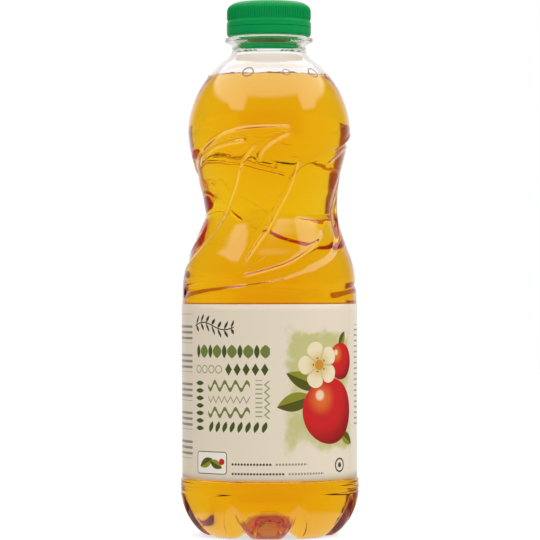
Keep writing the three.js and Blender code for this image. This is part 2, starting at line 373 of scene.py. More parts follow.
def ring_quads(rows, columns, closed=False):
    """Faces between neighbouring rings, facing out where the rings rise on the outside."""
    below = np.arange(rows if closed else rows - 1)[:, None]
    above = (below + 1) % rows
    left = np.arange(columns)[None, :]
    right = (left + 1) % columns
    corners = [row * columns + side for row, side in (
        (below, left), (below, right), (above, right), (above, left),
    )]
    return np.stack([np.broadcast_to(c, corners[0].shape) for c in corners], axis=-1).reshape(-1, 4)


def outward_normals(rings):
    """Unit normals of a grid of rings."""
    around = np.roll(rings, -1, axis=1) - np.roll(rings, 1, axis=1)
    upward = np.gradient(rings, axis=0)
    normals = np.cross(around, upward)
    return normals / np.linalg.norm(normals, axis=-1, keepdims=True)


def make_piece(name, points, faces, material, slot, *replaced):
    """A smooth mesh from points in millimetres, riding on the body in place of CAD nodes."""
    mesh = bpy.data.meshes.new(name)
    mesh.from_pydata((points * MM).tolist(), [], faces)
    mesh.validate()
    mesh.polygons.foreach_set("use_smooth", np.ones(len(mesh.polygons), bool))
    mesh.materials.append(material)
    piece = bpy.data.objects.new(name, mesh)
    bpy.context.scene.collection.objects.link(piece)
    return mount_piece(piece, slot, *replaced)


def mount_piece(piece, slot, *replaced):
    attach(piece, BODY)
    if replaced:
        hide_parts(*replaced)
    return piece


def smoothstep(share):
    share = np.clip(share, 0, 1)
    return share * share * (3 - 2 * share)


def rounded(corners, steps=3, hold=0.12):
    """A profile through (radius, height, rounding) corners, with arcs and a held edge at each rounded one."""
    line = []
    for k, (radius, height, rounding) in enumerate(corners):
        here = np.array([radius, height], float)
        if not rounding:
            line.append(here)
            continue
        back = np.array(corners[k - 1][:2]) - here
        ahead = np.array(corners[(k + 1) % len(corners)][:2]) - here
        back /= np.linalg.norm(back)
        ahead /= np.linalg.norm(ahead)
        line.append(here + back * (rounding + hold))
        for t in np.linspace(0, 1, steps + 1):
            start, end = here + back * rounding, here + ahead * rounding
            line.append(start * (1 - t) ** 2 + here * 2 * t * (1 - t) + end * t * t)
        line.append(here + ahead * (rounding + hold))
    return np.array(line)


# Shape of the bottle's skin

def along(points, height):
    """Smooth value at each height through (height, value) points."""
    at, value = np.array(points, float).T
    last = len(at) - 1
    before = np.maximum(np.arange(last + 1) - 1, 0)
    after = np.minimum(np.arange(last + 1) + 1, last)
    tangent = (value[after] - value[before]) / (at[after] - at[before])
    i = np.clip(np.searchsorted(at, height) - 1, 0, last - 1)
    span = at[i + 1] - at[i]
    t = np.clip((height - at[i]) / span, 0, 1)
    ease = t * t * (3 - 2 * t)
    lead = t * (1 - t) ** 2 * span * tangent[i]
    trail = t * t * (t - 1) * span * tangent[i + 1]
    return value[i] + (value[i + 1] - value[i]) * ease + lead + trail


def spline(points, steps):
    """Points on a smooth line through the given ones."""
    points = np.array(points, float)
    last = len(points) - 1
    line = []
    for step in range(steps * last + 1):
        i = min(step // steps, last - 1)
        t = step / steps - i
        p0, p1, p2, p3 = points[max(i - 1, 0)], points[i], points[i + 1], points[min(i + 2, last)]
        lead, trail = (p2 - p0) / 2, (p3 - p1) / 2
        cubic = 2 * p1 - 2 * p2 + lead + trail
        square = 3 * p2 - 3 * p1 - 2 * lead - trail
        line.append(cubic * t**3 + square * t**2 + lead * t + p1)
    return np.array(line)


def unroll(points):
    """A smooth line through (degrees, height) points, on the unrolled grip in millimetres."""
    flat = [(degrees * math.radians(UNROLL_R), height) for degrees, height in points]
    return spline(flat, CURVE_STEPS)


def loop(left, right):
    return np.concatenate([unroll(left), unroll(right)[-2:0:-1]])


def is_inside(polygon, x, y):
    inside = np.zeros(np.shape(x), bool)
    for a, b in zip(polygon, np.roll(polygon, -1, axis=0)):
        if a[1] != b[1]:
            crosses = (a[1] > y) != (b[1] > y)
            inside ^= crosses & (x < a[0] + (b[0] - a[0]) * (y - a[1]) / (b[1] - a[1]))
    return inside


def distance(line, x, y, closed=True):
    nearest = np.full(np.shape(x), np.inf)
    ends = np.roll(line, -1, axis=0) if closed else line[1:]
    for a, b in zip(line, ends):
        step = b - a
        t = np.clip(((x - a[0]) * step[0] + (y - a[1]) * step[1]) / (step @ step), 0, 1)
        nearest = np.minimum(nearest, np.hypot(x - a[0] - step[0] * t, y - a[1] - step[1] * t))
    return nearest


def bevel(share):
    """A straight slope with slightly rounded ends."""
    return 0.75 * share + 0.25 * smoothstep(share)


def share_to(outer, inner, x, y):
    """How far a point lies from one loop towards a smaller one inside it, from 0 to 1."""
    from_outer = distance(outer, x, y)
    share = from_outer / (from_outer + distance(inner, x, y) + 1e-9)
    return np.where(is_inside(inner, x, y), 1, share)


def panel_depth(x, y):
    """How deep one panel sinks the grip, at points of the unrolled grip."""
    rim, foot, pad = loop(RIM_LEFT, RIM_RIGHT), loop(FOOT_LEFT, FOOT_RIGHT), loop(PAD_LEFT, PAD_RIGHT)
    tail = TAIL_DEPTH * np.exp(-(distance(unroll(TAIL), x, y, False) / TAIL_HALF_WIDTH) ** 2)
    channel = along(CHANNEL_DEPTH, y) * bevel(share_to(rim, foot, x, y))
    sunk = channel + (along(PAD_DEPTH, y) - channel) * bevel(share_to(foot, pad, x, y))
    depth = np.where(is_inside(foot, x, y), sunk, np.maximum(channel, tail))
    return np.where(is_inside(rim, x, y), depth, tail)


def beside(line, x, y):
    """Distance from an open line, negative on one side of it, and a share that runs out at its ends."""
    nearest, side, place = np.full(np.shape(x), np.inf), np.zeros(np.shape(x)), np.zeros(np.shape(x))
    gone = 0
    for a, b in zip(line, line[1:]):
        step = b - a
        length = np.hypot(*step)
        t = np.clip(((x - a[0]) * step[0] + (y - a[1]) * step[1]) / length**2, 0, 1)
        reach = np.hypot(x - a[0] - step[0] * t, y - a[1] - step[1] * t)
        closer = reach < nearest
        nearest = np.where(closer, reach, nearest)
        side = np.where(closer, np.sign((x - a[0]) * step[1] - (y - a[1]) * step[0]), side)
        place = np.where(closer, gone + t * length, place)
        gone += length
    return nearest * side, smoothstep(np.minimum(place, gone - place) / BEAD_RUN_OUT)


def pitch_places(rows):
    """Heights of the grip's rings, and places on one pitch of the unrolled grip as each panel counts them."""
    height = np.linspace(GRIP_BOTTOM, GRIP_TOP, rows)[:, None]
    degrees = np.arange(PITCH_COLUMNS) * 360 / COLUMNS + lean(height)
    turns = np.arange(-PANELS, PANELS + 1) * 360 / PANELS
    return height, [(degrees + turn) * math.radians(UNROLL_R) for turn in turns]


def bead_places(rows):
    """Distance of each grip point from the nearest bead, and how fully the bead is formed there."""
    height, places = pitch_places(rows)
    across = np.full(places[0].shape, 9.0)
    share = np.zeros(across.shape)
    for x in places:
        for line in BEADS:
            here, formed = beside(unroll(line), x, height + 0 * x)
            closer = (np.abs(here) < np.abs(across)) & (formed > 0)
            across, share = np.where(closer, here, across), np.where(closer, formed, share)
    return np.tile(across, (1, PANELS)), np.tile(share, (1, PANELS))


def lean(height):
    """How far the columns lean with the swirl, in degrees."""
    return LEAN * smoothstep((height - LEAN_BOTTOM) / (LEAN_TOP - LEAN_BOTTOM))


def grip_rings(rows):
    """The waisted grip with its panels, from the label's recess to the shoulder."""
    height, places = pitch_places(rows)
    depth = np.max([panel_depth(x, height + 0 * x) for x in places], axis=0).clip(0)
    depth = np.tile(depth, (1, PANELS))
    across, share = bead_places(rows)
    bead = BEAD_HEIGHT * share * np.exp(-(across / BEAD_HALF_WIDTH) ** 2)
    depth = (np.roll(depth, 1, axis=1) + 2 * depth + np.roll(depth, -1, axis=1)) / 4
    above, below = np.vstack([depth[1:], depth[-1:]]), np.vstack([depth[:1], depth[:-1]])
    depth = (above + 2 * depth + below) / 4
    all_degrees = np.arange(COLUMNS) * 360 / COLUMNS + lean(height)
    return lathe(along(SIDE, height) - depth + bead, height, all_degrees)


def valley_share(degrees, half_width, sharpness):
    """1 in the middle of each valley between the feet, 0 on the feet."""
    pitch = 360 / FEET
    aside = np.abs((degrees - FRONT_FOOT) % pitch - pitch / 2)
    return np.clip(1 - aside / half_width, 0, 1) ** sharpness


def base_rings(under_rows, corner_rows):
    """Underside and rounded corner of the base, from near the middle out and up to the wall."""
    degrees = np.arange(COLUMNS) * 360 / COLUMNS
    foot, valley = spline(FOOT_LINE, under_rows), spline(VALLEY_LINE, under_rows)
    pick = np.linspace(0, len(foot) - 1, under_rows + 1).round().astype(int)[1:-1]
    share = valley_share(degrees, VALLEY_LOW_HALF_WIDTH, VALLEY_SHARPNESS)[None, :]
    under = foot[pick][:, None, :] * (1 - share[..., None]) + valley[pick][:, None, :] * share[..., None]
    t = np.linspace(1, 0, corner_rows)[:, None]
    out = np.cos(t * math.pi / 2) ** (2 / CORNER_POWER)
    down = np.sin(t * math.pi / 2) ** (2 / CORNER_POWER)
    narrowing = VALLEY_LOW_HALF_WIDTH - VALLEY_HIGH_HALF_WIDTH
    half_width = VALLEY_HIGH_HALF_WIDTH + narrowing * down**1.8
    share = valley_share(degrees[None, :], half_width, 1 + (VALLEY_SHARPNESS - 1) * down**4)
    (foot_r, foot_z), (valley_r, valley_z) = FOOT_LINE[-1], VALLEY_LINE[-1]
    bottom_r = foot_r + (valley_r - foot_r) * share
    bottom_z = foot_z + (valley_z - foot_z) * share
    corner_r = bottom_r + (BUMPER_R - bottom_r) * out
    corner_z = BASE_TOP + (bottom_z - BASE_TOP) * down
    radius = np.vstack([under[..., 0], corner_r])
    height = np.maximum(np.vstack([under[..., 1], corner_z]), 0)
    return lathe(radius, height, degrees[None, :])


def round_rings(radius, height, turn=0.0):
    """Plain round rings from lists of radii and heights."""
    degrees = np.arange(COLUMNS) * 360 / COLUMNS + turn
    return lathe(np.asarray(radius, float)[:, None], np.asarray(height, float)[:, None], degrees[None, :])


def bumper_rings():
    """The band over the feet with its two grooves, and the step into the label's recess."""
    height = np.arange(BASE_TOP + 0.3, FLAT_BOTTOM - 0.5, 0.45)
    grooves = sum(np.exp(-((height - groove) / GROOVE_HALF_WIDTH) ** 2) for groove in GROOVES)
    step_r = [BUMPER_R - 0.15, BUMPER_R - 0.55, FLAT_R + 0.05, FLAT_R]
    step_z = FLAT_BOTTOM + np.array([-0.4, -0.2, 0, 0.3])
    return round_rings([*(BUMPER_R - GROOVE_DEPTH * grooves), *step_r], [*height, *step_z])


def shoulder_rings():
    """The shoulder over the grip, down to the neck's narrow start."""
    dome = np.linspace(GRIP_TOP, FILLET_START, 20)[1:]
    fillet = np.linspace(FILLET_START, NECK_START - 0.4, 12)[1:]
    height = np.concatenate([dome, fillet])
    return round_rings(along(SIDE, height), height, LEAN)


def body_rings():
    """The outer skin from the middle of the underside to the start of the neck."""
    flat = round_rings(np.full(len(FLAT_RINGS), FLAT_R), FLAT_RINGS)
    base = base_rings(BASE_ROWS, CORNER_ROWS)
    return np.concatenate([base, bumper_rings(), flat, grip_rings(GRIP_ROWS), shoulder_rings()])


def wall_thickness(rings, wall):
    """Thickness of the wall at each point: it grows towards the middle of the base."""
    radius = np.hypot(rings[..., 0], rings[..., 1])
    return wall + 0.7 * smoothstep((22 - radius) / 18) * (rings[..., 2] < BASE_TOP)


def inner_rings(outer, wall, step=2):
    """The inside of the wall at half the resolution."""
    inside = outer - outward_normals(outer) * wall_thickness(outer, wall)[..., None]
    inside = (np.roll(inside, 1, axis=1) + 2 * inside + np.roll(inside, -1, axis=1)) / 4
    return inside[::step, ::step]


# Pieces

def shell_material():
    """Clear, glossy blown plastic, with the sharp crests of the grip's beads and a painted highlight, a faint
    warm emission, along one flank of each.
    """
    material, nodes = new_material("clear_blown_plastic", (0.93, 0.95, 0.95, 0.3))
    across = nodes.add("ShaderNodeAttribute", {"attribute_name": "bead_across"}, None, "Fac")
    share = nodes.add("ShaderNodeAttribute", {"attribute_name": "bead_share"}, None, "Fac")
    away = across * (1 / BEAD_CREST_HALF_WIDTH)
    crest = away.bell() * share * BEAD_CREST
    # Painted highlight: a warm glow beside each bead's crest, standing in for the soft lights that its slope
    # would catch.
    painted_highlight = (away - 0.5).bell() * share
    finish_surface(
        nodes, Base_Color=WHITE, Roughness=0.0, IOR=PLASTIC_IOR, Transmission_Weight=1.0,
        Normal=nodes.bump(crest, MM), Emission_Color=nodes.mix(painted_highlight, grey(0.0), (1.0, 0.9, 0.5, 1.0)),
        Emission_Strength=0.13,
    )
    return material


def wetted_material():
    """The inside of the wall where the drink wets it, which then mirrors almost nothing."""
    material, nodes = new_material("wetted_plastic", (0.93, 0.95, 0.95, 0.3))
    finish_surface(
        nodes, Base_Color=WHITE, Roughness=0.0, IOR=PLASTIC_IOR, Transmission_Weight=1.0,
        Specular_Tint=NO_TINT,
    )
    return material


def make_shell(shape):
    """The clear blown body: outer skin, mouth and inner wall in one closed mesh."""
    outer = body_rings()
    wall = shape.wall / MM
    neck = rounded(NECK_CORNERS)
    top = int(np.argmax(neck[:, 1] >= MOUTH_Z - 1e-6))
    outside, bore = neck[: top + 1], neck[top + 1 :]
    skin = np.concatenate([outer, round_rings(outside[:, 0], outside[:, 1], LEAN)])
    half = round_rings(bore[:, 0], bore[:, 1], LEAN)[:, ::2]
    inside = np.concatenate([half, inner_rings(outer, wall)[::-1]])
    points = np.concatenate([
        skin.reshape(-1, 3), inside.reshape(-1, 3),
        [(0, 0, FOOT_LINE[0][1]), (0, 0, FOOT_LINE[0][1] + inside[-1, :, 2].mean() - outer[0, :, 2].mean())],
    ])
    fine, coarse = COLUMNS, COLUMNS // 2
    first_inner = len(skin) * fine
    low_pole, high_pole = len(points) - 2, len(points) - 1
    faces = ring_quads(len(skin), fine).tolist()
    faces += (ring_quads(len(inside), coarse) + first_inner).tolist()
    last_ring, last_inner = first_inner - fine, low_pole - coarse
    for m in range(coarse):
        a, b, c = (last_ring + (2 * m + k) % fine for k in range(3))
        i, j = first_inner + m, first_inner + (m + 1) % coarse
        faces += [(a, b, i), (b, c, j), (b, j, i)]
        faces.append((last_inner + m, last_inner + (m + 1) % coarse, high_pole))
    faces += [(low_pole, (k + 1) % fine, k) for k in range(fine)]
    piece = make_piece("bottle_shell", points, faces, shell_material(), "clear_plastic", "bottle")
    before = (len(outer) - len(shoulder_rings()) - GRIP_ROWS) * fine
    for name, far, values in zip(("bead_across", "bead_share"), (-9.0, 0.0), bead_places(GRIP_ROWS)):
        filled = np.full(len(points), far)
        filled[before : before + values.size] = values.ravel()
        piece.data.attributes.new(name, "FLOAT", "POINT").data.foreach_set("value", filled)
    piece.data.materials.append(wetted_material())
    height = points[:, 2]
    for polygon in piece.data.polygons:
        corners = list(polygon.vertices)
        if min(corners) >= first_inner and height[corners].max() < LEVEL:
            polygon.material_index = 1
    return piece


def juice_material(looks):
    """Clear amber juice: it takes up blue at once, green slowly and red hardly at all."""
    material, nodes = new_material("amber_juice", (0.9, 0.6, 0.04, 0.9))
    output = finish_surface(
        nodes, Base_Color=WHITE, Roughness=0.0, IOR=JUICE_IOR, Transmission_Weight=1.0, Specular_Tint=NO_TINT,
    )
    most = max(looks.red_taken, looks.green_taken, looks.blue_taken)
    left = [1 - taken / most for taken in (looks.red_taken, looks.green_taken, looks.blue_taken)]
    absorb(nodes, output, (*left, 1.0), most)
    return material


def shoulder_radius(rings, level):
    """Radius of the shoulder's wall at one height."""
    height = rings[:, 0, 2]
    radius = np.hypot(rings[:, 0, 0], rings[:, 0, 1])
    shoulder = height > GRIP_TOP
    return float(np.interp(level, height[shoulder], radius[shoulder]))


def make_juice(shape):
    """The drink, reaching just into the wall all round, with a slight meniscus at its edge."""
    outer = body_rings()
    rings = inner_rings(outer, shape.wall / MM - shape.overlap / MM)
    side = rings[rings[:, 0, 2] < LEVEL - 0.4]
    edge = shoulder_radius(rings, LEVEL)
    climb = shape.meniscus / MM
    inward = np.array([0, 0.3, 0.8, 1.6, 3, 6, 12, 19, 25])
    degrees = np.arange(COLUMNS // 2) * 720 / COLUMNS + LEAN
    turn = np.radians(degrees)
    ripple = 1 + 0.4 * np.sin(7 * turn) + 0.3 * np.sin(17 * turn + 1) + 0.3 * np.sin(31 * turn + 2)
    height = LEVEL + climb * np.exp(-inward / 0.7)[:, None] * ripple[None, :]
    surface = lathe((edge - inward)[:, None], height, degrees[None, :])
    rows = np.concatenate([side, surface])
    floor = FOOT_LINE[0][1] + rings[0, :, 2].mean() - outer[0, :, 2].mean()
    middle = [(0, 0, floor), (0, 0, LEVEL)]
    points = np.concatenate([rows.reshape(-1, 3), middle])
    columns = COLUMNS // 2
    faces = ring_quads(len(rows), columns).tolist()
    last = (len(rows) - 1) * columns
    bottom, top = len(points) - 2, len(points) - 1
    faces += [(bottom, (k + 1) % columns, k) for k in range(columns)]
    faces += [(last + k, last + (k + 1) % columns, top) for k in range(columns)]
    looks = bpy.context.scene.juice_looks
    return make_piece("juice_fill", points, faces, juice_material(looks), "juice", "juice")


def new_tree(name, inputs):
    """A Geometry Nodes tree with named inputs, Count among them, and their default values."""
    tree = bpy.data.node_groups.new(name, "GeometryNodeTree")
    tree.interface.new_socket("Geometry", in_out="OUTPUT", socket_type="NodeSocketGeometry")
    for title, default in inputs.items():
        kind = "NodeSocketInt" if isinstance(default, int) else "NodeSocketFloat"
        socket = tree.interface.new_socket(title, in_out="INPUT", socket_type=kind)
        socket.default_value = default
    nodes = Nodes(tree)
    values = nodes.add("NodeGroupInput", None, None, "Count")
    return nodes, [nodes.other(values, title) for title in inputs]


def end_tree(nodes, geometry, material):
    """Realizes the instances, gives them their material and smooth faces, and ends the tree."""
    real = nodes.add("GeometryNodeRealizeInstances", None, {"Geometry": geometry})
    smooth = nodes.add("GeometryNodeSetShadeSmooth", None, {0: real})
    painted = nodes.add("GeometryNodeSetMaterial", None, {"Geometry": smooth, "Material": material})
    nodes.add("NodeGroupOutput", None, {"Geometry": painted})


def grow(name, nodes, values, material, slot):
    """Runs a tree on an empty mesh and keeps the result as a plain mesh."""
    seed = bpy.data.objects.new(name + "_seed", bpy.data.meshes.new(name + "_seed"))
    bpy.context.scene.collection.objects.link(seed)
    modifier = seed.modifiers.new(name, "NODES")
    modifier.node_group = nodes.tree
    items = nodes.tree.interface.items_tree
    named = {item.name: item.identifier for item in items if item.in_out == "INPUT"}
    for title, value in values.items():
        modifier[named[title]] = value
    graph = bpy.context.evaluated_depsgraph_get()
    mesh = bpy.data.meshes.new_from_object(seed.evaluated_get(graph))
    seed.modifiers.remove(modifier)
    bpy.data.objects.remove(seed)
    mesh.name = name
    if not mesh.materials:
        mesh.materials.append(material)
    piece = bpy.data.objects.new(name, mesh)
    bpy.context.scene.collection.objects.link(piece)
    return mount_piece(piece, slot)


def bubble_material():
    """Juice that clings in thin films and beads."""
    material, nodes = new_material("bubble_film", (1.0, 0.95, 0.8, 0.3))
    output = finish_surface(nodes, Base_Color=WHITE, Roughness=0.0, IOR=1.33, Transmission_Weight=1.0)
    absorb(nodes, output, (0.6, 0.25, 0.05, 1.0), 11000.0)
    return material


def tube(nodes, around, thickness):
    """A round bead along a curve."""
    profile = nodes.add("GeometryNodeCurvePrimitiveCircle", None, {"Resolution": 8, "Radius": thickness})
    return nodes.add("GeometryNodeCurveToMesh", None, {"Curve": around, "Profile Curve": profile})


def bubble_tree(material):
    """Bubbles of mixed size that cling to the wall where the drink ends, and a wavy bead of juice there."""
    nodes, values = new_tree("bubble_ring", {
        "Count": 24, "Seed": 4, "Wall radius": 0.027, "Level": LEVEL * MM, "Smallest": 0.0005,
        "Largest": 0.0026, "Lean": 0.65,
    })
    count, seed, wall, level, smallest, largest, lean_in = values
    index = nodes.add("GeometryNodeInputIndex")
    rise, inward = lean_in.maths("COSINE", lean_in), lean_in.sine()

    def chance(step):
        inputs = {"Min": 0.0, "Max": 1.0, "Seed": seed + step, "ID": index}
        return nodes.add("FunctionNodeRandomValue", {"data_type": "FLOAT"}, inputs)

    turn = (index + chance(0) * 0.8) / count * (2 * math.pi)
    big = index.near(3.0, 0.1).most(index.near(22.0, 0.1))
    size = smallest + (largest - smallest) * (chance(1) ** 3 * 0.6).most(big)
    up = size * 0.4
    out = wall - up * inward - 0.0002
    place = nodes.join(out * turn.sine(), -(out * turn.maths("COSINE", turn)), level + up * rise)
    dots = nodes.add("GeometryNodePoints", None, {"Count": count, "Position": place})
    circle = nodes.add("GeometryNodeCurvePrimitiveCircle", None, {"Resolution": 28, "Radius": 1.0})
    inputs = {
        "Points": dots, "Instance": tube(nodes, circle, 0.1), "Scale": nodes.join(size, size, size),
        "Rotation": nodes.join(math.pi / 2 - lean_in, 0.0, turn),
    }
    bubbles = nodes.add("GeometryNodeInstanceOnPoints", None, inputs)

    edge = nodes.add("GeometryNodeCurvePrimitiveCircle", None, {"Resolution": 300, "Radius": wall - 0.0002})
    spot = nodes.add("GeometryNodeInputPosition")
    climb = (nodes.noise(spot, 220.0, 3.0) - 0.35) * 0.0028
    inputs = {"Vector": spot, "Scale": 1.0 - climb * inward / wall}
    moved = nodes.add("ShaderNodeVectorMath", {"operation": "SCALE"}, inputs, "Vector")
    x, y, _ = nodes.split(moved)
    inputs = {"Geometry": edge, "Position": nodes.join(x, y, level + climb * rise)}
    bead = tube(nodes, nodes.add("GeometryNodeSetPosition", None, inputs), 0.0002)
    both = nodes.add("GeometryNodeJoinGeometry", None, {"Geometry": bubbles})
    nodes.tree.links.new(bead.socket, both.socket.node.inputs[0])
    end_tree(nodes, both, material)
    return nodes


def make_bubbles(shape):
    """The bubbles and the bead of juice where the drink meets the wall."""
    material = bubble_material()
    nodes = bubble_tree(material)
    rings = inner_rings(body_rings(), shape.wall / MM)
    wall, above = shoulder_radius(rings, LEVEL), shoulder_radius(rings, LEVEL + 2)
    values = {
        "Count": shape.bubbles, "Seed": 4, "Wall radius": wall * MM, "Level": LEVEL * MM,
        "Smallest": shape.smallest_bubble, "Largest": shape.largest_bubble,
        "Lean": math.atan2(wall - above, 2),
    }
    return grow("juice_bubbles", nodes, values, material, "juice")


def cap_material(colour):
    """Moulded green plastic with a satin sheen, and a painted glow, an emission in its own colour, on the
    inside of its skirt where light comes through.
    """
    material, nodes = new_material("moulded_green_plastic", (0.0, 0.5, 0.24, 1.0))
    place = nodes.add("ShaderNodeTexCoord", None, None, "Object")
    cloud = nodes.noise(place, 90.0, 3.0)
    grain = nodes.noise(place, 1800.0, 2.0)
    darker = tuple(channel * 0.9 for channel in colour) + (1.0,)
    lighter = tuple(channel * 1.06 for channel in colour) + (1.0,)
    x, y, z = nodes.split(place)
    reach = (x * x + y * y).root() / MM
    # Painted glow: the inside of the skirt gives off the cap's colour, standing in for light let through the
    # plastic.
    inside = reach.ramp(SLIT_R, CAP_WALL_R) * reach.ramp(BORE_R, FINISH_R) * (z / MM < CAP_CEILING)
    glow = nodes.mix(inside, grey(0.0), (*colour, 1.0))
    finish_surface(
        nodes, Base_Color=nodes.mix(cloud, darker, lighter), IOR=1.4, Specular_IOR_Level=0.15,
        Roughness=cloud.ramp(0.3, 0.7, 0.32, 0.42), Normal=nodes.bump(grain, 0.00003, 0.6),
        Emission_Color=glow, Emission_Strength=0.6,
    )
    return material


def make_cap():
    """The screw cap with its tamper band, without the ribs."""
    lower = rounded([
        (CAP_WALL_R, CAP_CEILING, 0.6), (CAP_WALL_R, CAP_BOTTOM, 0.15), (CAP_R - 0.45, CAP_BOTTOM, 0.3),
        (CAP_R, CAP_BOTTOM + 1.2, 0.5), (CAP_R, BAND_TOP, 0.2), (SLIT_R, BAND_TOP, 0),
        (SLIT_R, BAND_TOP + SLIT, 0), (CAP_R, BAND_TOP + SLIT, 0.2), (CAP_R, LEDGE_TOP - 0.2, 0.4),
        (CAP_TOP_R, LEDGE_TOP + 0.8, 0.2),
    ], hold=0.08)
    turn = np.linspace(0, 1, 18)
    corner_r = CAP_TOP_R - CAP_CORNER_ACROSS * (1 - np.cos(turn * math.pi / 2))
    corner_z = CAP_CORNER_START + CAP_CORNER_UP * np.sin(turn * math.pi / 2)
    corner = np.stack([corner_r, corner_z], axis=1)
    top = np.array([(10, CAP_TOP), (4, CAP_TOP)])
    ceiling = np.array([(4, CAP_CEILING), (12, CAP_CEILING)])
    profile = np.concatenate([ceiling, lower, corner, top])
    degrees = np.arange(CAP_COLUMNS) * 360 / CAP_COLUMNS
    rings = lathe(profile[:, 0][:, None], profile[:, 1][:, None], degrees[None, :])
    points = np.concatenate([rings.reshape(-1, 3), [(0, 0, CAP_CEILING), (0, 0, CAP_TOP)]])
    faces = ring_quads(len(rings), CAP_COLUMNS).tolist()
    last = (len(rings) - 1) * CAP_COLUMNS
    under, over = len(points) - 2, len(points) - 1
    for k in range(CAP_COLUMNS):
        following = (k + 1) % CAP_COLUMNS
        faces += [(under, following, k), (last + k, last + following, over)]
    material = cap_material(bpy.context.scene.bottle_looks.cap)
    return make_piece("screw_cap", points, faces, material, "cap_plastic", "cap"), material


def rib_tree(material):
    """Round ribs that stand on the cap's side and run out on its rounded top edge."""
    nodes, values = new_tree("cap_ribs", {
        "Count": 110, "Rib radius": 0.0004, "Cap radius": CAP_TOP_R * MM, "Bottom": RIB_BOTTOM * MM,
        "Top": RIB_TOP * MM, "Corner start": CAP_CORNER_START * MM, "Corner across": CAP_CORNER_ACROSS * MM,
        "Corner up": CAP_CORNER_UP * MM,
    })
    count, rib, cap, bottom, top, corner_start, across, up = values
    inputs = {"Vertices": 8, "Side Segments": 10, "Radius": rib, "Depth": 2.0}
    rod = nodes.add("GeometryNodeMeshCylinder", {"fill_type": "NGON"}, inputs)
    x, y, z = nodes.split(nodes.add("GeometryNodeInputPosition"))
    share = (z + 1.0) * 0.5
    height = bottom + (top - bottom) * share
    climb = ((height - corner_start) / up).most(0.0)
    inset = across * (1.0 - (1.0 - climb * climb).root())
    thin = (1.0 - (abs(z) ** 6) * 0.97).root()
    place = nodes.join(cap - inset + x * thin - rib * 0.15, y * thin, height)
    bent = nodes.add("GeometryNodeSetPosition", None, {"Geometry": rod, "Position": place})
    index = nodes.add("GeometryNodeInputIndex")
    dots = nodes.add("GeometryNodePoints", None, {"Count": count})
    turn = nodes.join(0.0, 0.0, index / count * (2 * math.pi))
    inputs = {"Points": dots, "Instance": bent, "Rotation": turn}
    ribs = nodes.add("GeometryNodeInstanceOnPoints", None, inputs)
    end_tree(nodes, ribs, material)
    return nodes


def make_ribs(shape, material):
    values = {"Count": shape.ribs, "Rib radius": shape.rib_radius}
    return grow("cap_ribs", rib_tree(material), values, material, "cap_plastic")


class Film:
    """The label's film, unrolled. Shapes lie on it in millimetres along and up from its front's foot."""

    def __init__(self, nodes, ground):
        self.nodes = nodes
        self.object_place = nodes.add("ShaderNodeTexCoord", None, None, "Object")
        x, y, z = nodes.split(self.object_place)
        self.along = x.maths("ARCTAN2", x, -y) * LABEL_R
        self.up = z / MM - LABEL_BOTTOM
        self.place = nodes.join(self.along, self.up, 1.0)
        self.colour = ground

    def lay(self, shape, ink):
        self.colour = self.nodes.mix(shape, self.colour, ink)

    def line(self, along, up, degrees=0):
        """How far a place lies from a point, measured in one direction."""
        across, rise = math.cos(math.radians(degrees)), math.sin(math.radians(degrees))
        inputs = {0: self.place, 1: (across, rise, -(along * across + up * rise))}
        return self.nodes.add("ShaderNodeVectorMath", {"operation": "DOT_PRODUCT"}, inputs, "Value")

    def reach(self, along, up):
        """How far a place lies from a point."""
        inputs = {0: self.place, 1: (along, up, 1.0)}
        return self.nodes.add("ShaderNodeVectorMath", {"operation": "DISTANCE"}, inputs, "Value")

    def box(self, left, right, low, high):
        across = self.along.near((left + right) / 2, (right - left) / 2)
        return across * self.up.near((low + high) / 2, (high - low) / 2)

    def fill(self, motif, ink, pitch, left, right, low, high, upwards=False):
        """Fills a box with a row of one motif, or with a column of it."""
        p, q = (self.along - left).wrapped(pitch) - pitch / 2, self.up - (low + high) / 2
        tall = (high - low) / 2
        if upwards:
            p, q = (self.up - low).wrapped(pitch) - pitch / 2, self.along - (left + right) / 2
            tall = (right - left) / 2
        self.lay(motif(p, q, pitch / 2, tall) * self.box(left, right, low, high), ink)


def leaf_motif(p, q, wide, tall):
    return abs(p) < (1.0 - q * q * (1 / tall**2)) * (0.62 * wide)


def slanted_motif(p, q, wide, tall):
    return leaf_motif(p - q * 0.3, q, wide, tall)


def diamond_motif(p, q, wide, tall):
    return abs(p) * (tall / (0.8 * wide)) + abs(q) < tall


def ring_motif(p, q, wide, tall):
    return (p * p + q * q).root().near(0.8 * min(wide, tall), 0.25)


def zigzag_motif(p, q, wide, tall):
    return (abs(p) * (1.5 * tall / wide) - q - 0.75 * tall).near(0.0, 0.5)


def wave_motif(p, q, wide, tall):
    return ((p * (math.pi / wide)).sine() * (0.65 * tall) - q).near(0.0, 0.95)


def bar_motif(p, q, wide, tall):
    return p.near(0.0, 0.3 * wide)


def dot_motif(p, q, wide, tall):
    return (p * p + q * q).root() < 0.75 * wide


